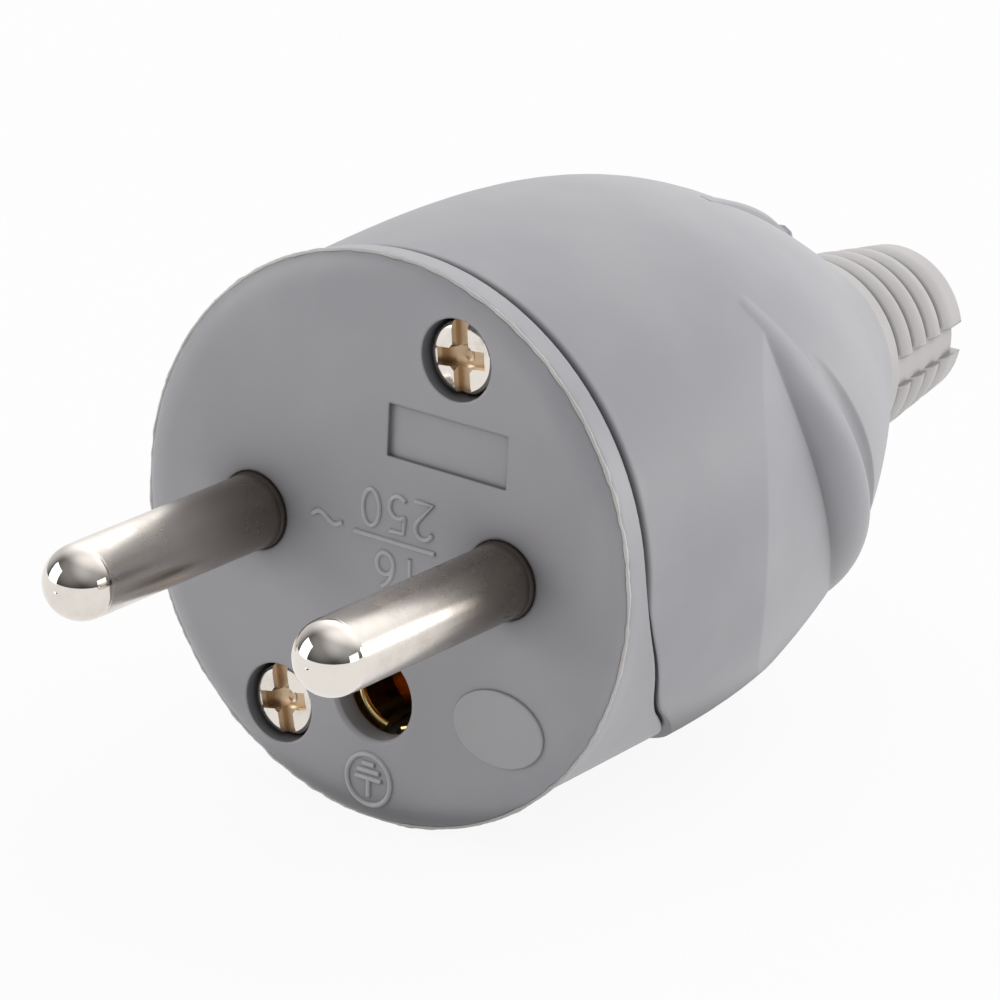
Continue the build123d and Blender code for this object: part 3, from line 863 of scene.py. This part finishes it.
def make_contact_lip():
    """Rolled front edge of the earth contact, open at its slits."""
    corners, edges = [], []
    for start, end in ((96, 262), (286, 420)):
        for place, (x, z) in enumerate(arc((0, -EARTH_DROP), (LIP_RING_R, LIP_RING_R), start, end, 40)):
            if place:
                edges.append((len(corners) - 1, len(corners)))
            corners.append(Vector((x, LIP_Y, z)) * MM)
    wires = bpy.data.meshes.new("contact_lip")
    wires.from_pydata(corners, edges, [])
    mesh = grown("contact_lip", STROKES, lip_brass, wires, Stroke_Radius=LIP_R * MM)
    ridden("contact_lip", mesh)


# Flash of the moulds
def rim_flash_tree():
    """Geometry tree for the uneven ridge of flash round the rim."""
    inputs = [
        ("Ring Radius", "NodeSocketFloat", FACE_R * MM),
        ("Ring Place", "NodeSocketFloat", FLASH_Y * MM),
        ("Ridge Radius", "NodeSocketFloat", 0.15 * MM),
        ("Waver", "NodeSocketFloat", 0.4 * MM),
        ("Seed", "NodeSocketFloat", 3.0),
    ]
    tree, given, out = geometry_tree("rim_flash", inputs)
    ring = add(tree, "GeometryNodeCurvePrimitiveCircle", Resolution=1080)
    link(tree, given.outputs["Ring Radius"], ring.inputs["Radius"])
    waver = add(tree, "ShaderNodeTexNoise", noise_dimensions="4D", Scale=800.0, Detail=6.0)
    link(tree, given.outputs["Seed"], waver.inputs["W"])
    centred = maths(tree, "SUBTRACT", waver.outputs["Fac"], 0.5)
    shift = tree.nodes.new("ShaderNodeCombineXYZ")
    link(tree, maths(tree, "MULTIPLY", centred, given.outputs["Waver"]), shift.inputs["Z"])
    wavy = tree.nodes.new("GeometryNodeSetPosition")
    link(tree, ring.outputs["Curve"], wavy.inputs["Geometry"])
    link(tree, shift.outputs[0], wavy.inputs["Offset"])
    section = add(tree, "GeometryNodeCurvePrimitiveCircle", Resolution=7)
    link(tree, given.outputs["Ridge Radius"], section.inputs["Radius"])
    swell = add(tree, "ShaderNodeTexNoise", noise_dimensions="4D", Scale=900.0, Detail=2.0)
    link(tree, given.outputs["Seed"], swell.inputs["W"])
    body = tree.nodes.new("GeometryNodeCurveToMesh")
    link(tree, wavy.outputs[0], body.inputs["Curve"])
    link(tree, section.outputs["Curve"], body.inputs["Profile Curve"])
    thickness = ramped(tree, swell.outputs["Fac"], 0.3, 0.7, 0.55, 1.15, interpolation="LINEAR")
    link(tree, thickness, body.inputs["Scale"])
    placed = tree.nodes.new("GeometryNodeTransform")
    link(tree, body.outputs["Mesh"], placed.inputs["Geometry"])
    placed.inputs["Rotation"].default_value = (math.radians(90), 0, 0)
    move = tree.nodes.new("ShaderNodeCombineXYZ")
    link(tree, given.outputs["Ring Place"], move.inputs["Y"])
    link(tree, move.outputs[0], placed.inputs["Translation"])
    end_tree(tree, given, out, placed.outputs[0])
    return tree


def make_rim_flash():
    """Thin whitened ridge where the two halves of the front mould met."""
    mesh = grown("rim_flash", rim_flash_tree(), flash_moulding, Ring_Radius=(FACE_R - 0.05) * MM)
    ridden("rim_flash", mesh)


def make_cover_flash():
    """Thin fin and gate nub on the parting line of the cover, as its mould left them."""
    surface = surface_of(nodes["rear_cover"])
    angle = math.radians(FIN_ANGLE)
    outwards = Vector((math.cos(angle), 0, math.sin(angle)))
    across = Vector((-math.sin(angle), 0, math.cos(angle)))
    steps = 60
    half_w = 0.75
    sunk = 0.3
    nub_stand = 0.4
    nub_half_y = 0.22
    shape = bmesh.new()
    rows = []
    for step in range(steps + 1):
        share = step / steps
        y = FIN_START_Y + (FIN_END_Y - FIN_START_Y) * share
        outside = outwards * 30 * MM + Vector((0, y * MM, 0))
        base = surface.ray_cast(outside, -outwards)[0]
        swell = math.sin(math.pi * share ** 1.4) ** 0.8
        ripple = 0.95 + 0.05 * math.sin(9 * share + 1)
        stand = FIN_STAND * swell * ripple
        nub = nub_stand * math.exp(-(((y - NUB_Y) / nub_half_y) ** 2))
        width = half_w + 0.4 * nub
        flank = 0.6 * stand + 0.7 * nub
        left = [(-width, -sunk), (-0.6 * width, flank)]
        right = [(0.6 * width, flank), (width, -sunk)]
        row = []
        for side, rise in left + [(0, stand + nub)] + right:
            row.append(shape.verts.new(base + (across * side + outwards * rise) * MM))
        rows.append(row)
    for near, away in zip(rows, rows[1:]):
        for place in range(len(near)):
            after = (place + 1) % len(near)
            shape.faces.new((near[place], near[after], away[after], away[place]))
    shape.faces.new(rows[0])
    shape.faces.new(rows[-1])
    bmesh.ops.recalc_face_normals(shape, faces=shape.faces)
    mesh = mesh_of(shape, "cover_flash")
    smooth(mesh, 75.0)
    mesh.materials.append(cover_moulding)
    ridden("cover_flash", mesh)


# Assembly screws
def screw_template():
    """Pan-head screw with a slot and a cross in its head, on the Y axis."""
    head_end = SCREW_HEAD_Y + SCREW_HEAD_T
    core_r = SCREW_SHANK_R - THREAD_DEPTH
    tip_y = head_end + SCREW_LENGTH
    profile = [(0, SCREW_HEAD_Y)]
    profile += [(SCREW_HEAD_R - 0.55, SCREW_HEAD_Y), (SCREW_HEAD_R - 0.25, SCREW_HEAD_Y + 0.07)]
    profile += [(SCREW_HEAD_R - 0.07, SCREW_HEAD_Y + 0.22), (SCREW_HEAD_R, SCREW_HEAD_Y + 0.45)]
    profile += [(SCREW_HEAD_R, head_end), (core_r, head_end)]
    profile += [(core_r, tip_y - 0.6), (core_r - 0.4, tip_y), (0, tip_y)]
    blank = lathe_mesh("screw_blank", profile, 64)
    deep = 2 * SLOT_DEPTH
    slot = box_mesh("slot", (SLOT_W, deep, 3 * SCREW_HEAD_R), (0, SCREW_HEAD_Y, 0), 0)
    cross = box_mesh("cross", (CROSS_LENGTH, 2 * CROSS_DEPTH, CROSS_W), (0, SCREW_HEAD_Y, 0), 0)
    above = SCREW_HEAD_Y - 0.3
    heart_profile = [(0, above), (HEART_R, above), (HEART_R, SCREW_HEAD_Y + 0.15)]
    heart_profile.append((HEART_FLOOR_R, SCREW_HEAD_Y + 0.8 * CROSS_DEPTH))
    heart_profile.append((0, SCREW_HEAD_Y + 1.2 * CROSS_DEPTH))
    heart = lathe_mesh("heart", heart_profile, 32)
    return cut_away(blank, [slot, cross, heart])


def screw_tree(template):
    """Geometry tree that threads a screw and sets it in the ring of screws."""
    inputs = [
        ("Ring Radius", "NodeSocketFloat", SCREW_RING_R * MM),
        ("Ring Angle", "NodeSocketFloat", 0.0),
        ("Slot Turn", "NodeSocketFloat", 0.0),
        ("Thread Pitch", "NodeSocketFloat", THREAD_PITCH * MM),
        ("Thread Length", "NodeSocketFloat", THREAD_LENGTH * MM),
    ]
    tree, given, out = geometry_tree("assembly_screw", inputs)
    turns = maths(tree, "DIVIDE", given.outputs["Thread Length"], given.outputs["Thread Pitch"])
    core_r = (SCREW_SHANK_R - THREAD_DEPTH) * MM
    helix = add(tree, "GeometryNodeCurveSpiral", Resolution=28, Start_Radius=core_r, End_Radius=core_r)
    link(tree, turns, helix.inputs["Rotations"])
    link(tree, given.outputs["Thread Length"], helix.inputs["Height"])
    section = add(tree, "GeometryNodeCurvePrimitiveCircle", Resolution=4, Radius=THREAD_DEPTH * MM)
    thread = tree.nodes.new("GeometryNodeCurveToMesh")
    link(tree, helix.outputs["Curve"], thread.inputs["Curve"])
    link(tree, section.outputs["Curve"], thread.inputs["Profile Curve"])
    thread.inputs["Fill Caps"].default_value = True
    upright = tree.nodes.new("GeometryNodeTransform")
    link(tree, thread.outputs["Mesh"], upright.inputs["Geometry"])
    upright.inputs["Rotation"].default_value = (math.radians(-90), 0, 0)
    start_y = SCREW_HEAD_Y + SCREW_HEAD_T + THREAD_START
    upright.inputs["Translation"].default_value = (0, start_y * MM, 0)
    blank = tree.nodes.new("GeometryNodeObjectInfo")
    blank.inputs["Object"].default_value = template
    whole = tree.nodes.new("GeometryNodeJoinGeometry")
    link(tree, upright.outputs[0], whole.inputs[0])
    link(tree, blank.outputs["Geometry"], whole.inputs[0])
    place = tree.nodes.new("ShaderNodeCombineXYZ")
    angle = given.outputs["Ring Angle"]
    for axis, function in (("X", "COSINE"), ("Z", "SINE")):
        share = maths(tree, function, angle)
        link(tree, maths(tree, "MULTIPLY", share, given.outputs["Ring Radius"]), place.inputs[axis])
    spot = tree.nodes.new("GeometryNodePoints")
    link(tree, place.outputs[0], spot.inputs["Position"])
    turn = tree.nodes.new("ShaderNodeCombineXYZ")
    link(tree, given.outputs["Slot Turn"], turn.inputs["Y"])
    screw = tree.nodes.new("GeometryNodeInstanceOnPoints")
    link(tree, spot.outputs[0], screw.inputs["Points"])
    link(tree, whole.outputs[0], screw.inputs["Instance"])
    link(tree, turn.outputs[0], screw.inputs["Rotation"])
    end_tree(tree, given, out, screw.outputs[0])
    return tree


def make_assembly_screws():
    """The two screws that hold the cover to the front moulding."""
    template = as_object("screw_template", screw_template())
    tree = screw_tree(template)
    for side, angle in SCREW_ANGLES.items():
        name = side + "_slotted_screw"
        slot_turn = 90 - SCREW_SLOT_TURNS[side]
        mesh = grown(
            name, tree, screw_nickel, Ring_Angle=math.radians(angle), Slot_Turn=math.radians(slot_turn)
        )
        smooth(mesh, 25.0)
        ridden(name, mesh, (side + "_assembly_screw",))
    bpy.data.objects.remove(template)


make_pin_carrier()
make_rear_cover()
make_sleeve()
make_raised_oval()
make_raised_signs()
make_contact_lip()
make_rim_flash()
make_cover_flash()
make_assembly_screws()


# Stage: floor, camera, lamps and surroundings
def make_floor():
    """Plain pale floor under the plug."""
    floor_z = cad_box[0][2]
    half = 3.0
    mesh = bpy.data.meshes.new("pale_floor")
    corners = [(x * half, y * half, floor_z) for x, y in ((-1, -1), (1, -1), (1, 1), (-1, 1))]
    mesh.from_pydata(corners, [], [(0, 1, 2, 3)])
    floor = as_object("pale_floor", mesh)
    material = bpy.data.materials.new("pale_floor")
    material.use_nodes = True
    tree = material.node_tree
    shader = tree.nodes["Principled BSDF"]
    shader.inputs["Base Color"].default_value = (0.9, 0.9, 0.9, 1)
    shader.inputs["Roughness"].default_value = 0.8
    shader.inputs["Specular IOR Level"].default_value = 0.1
    glow = add(tree, "ShaderNodeEmission", Strength=1.0)
    path = tree.nodes.new("ShaderNodeLightPath")
    seen = maths(tree, "MAXIMUM", path.outputs["Is Camera Ray"], path.outputs["Is Glossy Ray"])
    share = maths(tree, "MULTIPLY", seen, FLOOR_WHITE_SHARE)
    mix = tree.nodes.new("ShaderNodeMixShader")
    link(tree, share, mix.inputs[0])
    link(tree, shader.outputs[0], mix.inputs[1])
    link(tree, glow.outputs[0], mix.inputs[2])
    link(tree, mix.outputs[0], tree.nodes["Material Output"].inputs["Surface"])
    mesh.materials.append(material)


def make_camera():
    """Camera at the photograph's viewing angle."""
    place = Vector((199.079, -264.842, 122.345)) * MM
    aim = Vector((-5.126, 20.0, -3.773)) * MM
    roll = math.radians(1.786)
    forward = (aim - place).normalized()
    level = forward.cross(Vector((0, 0, 1))).normalized()
    upright = level.cross(forward)
    right = level * math.cos(roll) + upright * math.sin(roll)
    up = right.cross(forward)
    lens = bpy.data.cameras.new("view")
    lens.sensor_width = 36.0
    lens.lens = 207.9
    lens.clip_start = 0.01
    camera = bpy.data.objects.new("view", lens)
    turn = Matrix((right, up, -forward)).transposed().to_4x4()
    camera.matrix_world = Matrix.Translation(place) @ turn
    bpy.context.scene.collection.objects.link(camera)
    bpy.context.scene.camera = camera


def softbox(name, place, aim, size, watts):
    """Rectangular studio lamp that faces a point."""
    lamp = bpy.data.lights.new(name, "AREA")
    lamp.shape = "RECTANGLE"
    lamp.size, lamp.size_y = size
    lamp.energy = watts
    lamp.color = LAMP_TINT
    box = bpy.data.objects.new(name, lamp)
    direction = Vector(aim) - Vector(place)
    box.rotation_euler = direction.to_track_quat("-Z", "Y").to_euler()
    box.location = place
    bpy.context.scene.collection.objects.link(box)


def make_surroundings():
    """Studio with pale screens behind and overhead, dark on the photographer's side."""
    world = bpy.data.worlds.new("studio")
    bpy.context.scene.world = world
    world.use_nodes = True
    tree = world.node_tree
    sky = tree.nodes["Background"]
    way = tree.nodes.new("ShaderNodeTexCoord").outputs["Generated"]
    level = None
    for direction, strength in PALE_SCREENS.values():
        towards = tree.nodes.new("ShaderNodeVectorMath")
        towards.operation = "DOT_PRODUCT"
        link(tree, way, towards.inputs[0])
        towards.inputs[1].default_value = direction
        lit = ramped(tree, towards.outputs["Value"], 0.45, 1.0, 0.0, strength)
        level = maths(tree, "ADD", level if level else DIM_ROOM, lit)
    path = tree.nodes.new("ShaderNodeLightPath")
    shown = maths(tree, "MAXIMUM", level, path.outputs["Is Camera Ray"])
    link(tree, shown, sky.inputs["Color"])


make_floor()
make_camera()
softbox("front_left_softbox", (-0.55, -0.4, 0.2), (0, 0, 0), (0.45, 0.45), 1.7)
softbox("low_right_softbox", (0.7, 0.15, 0.1), (0, 0.02, 0), (0.4, 0.22), 0.4)
softbox("low_rear_softbox", (0.4, 0.6, 0.1), (0, 0.02, 0), (0.5, 0.22), 1.0)
make_surroundings()
bpy.context.scene.view_settings.view_transform = "Standard"
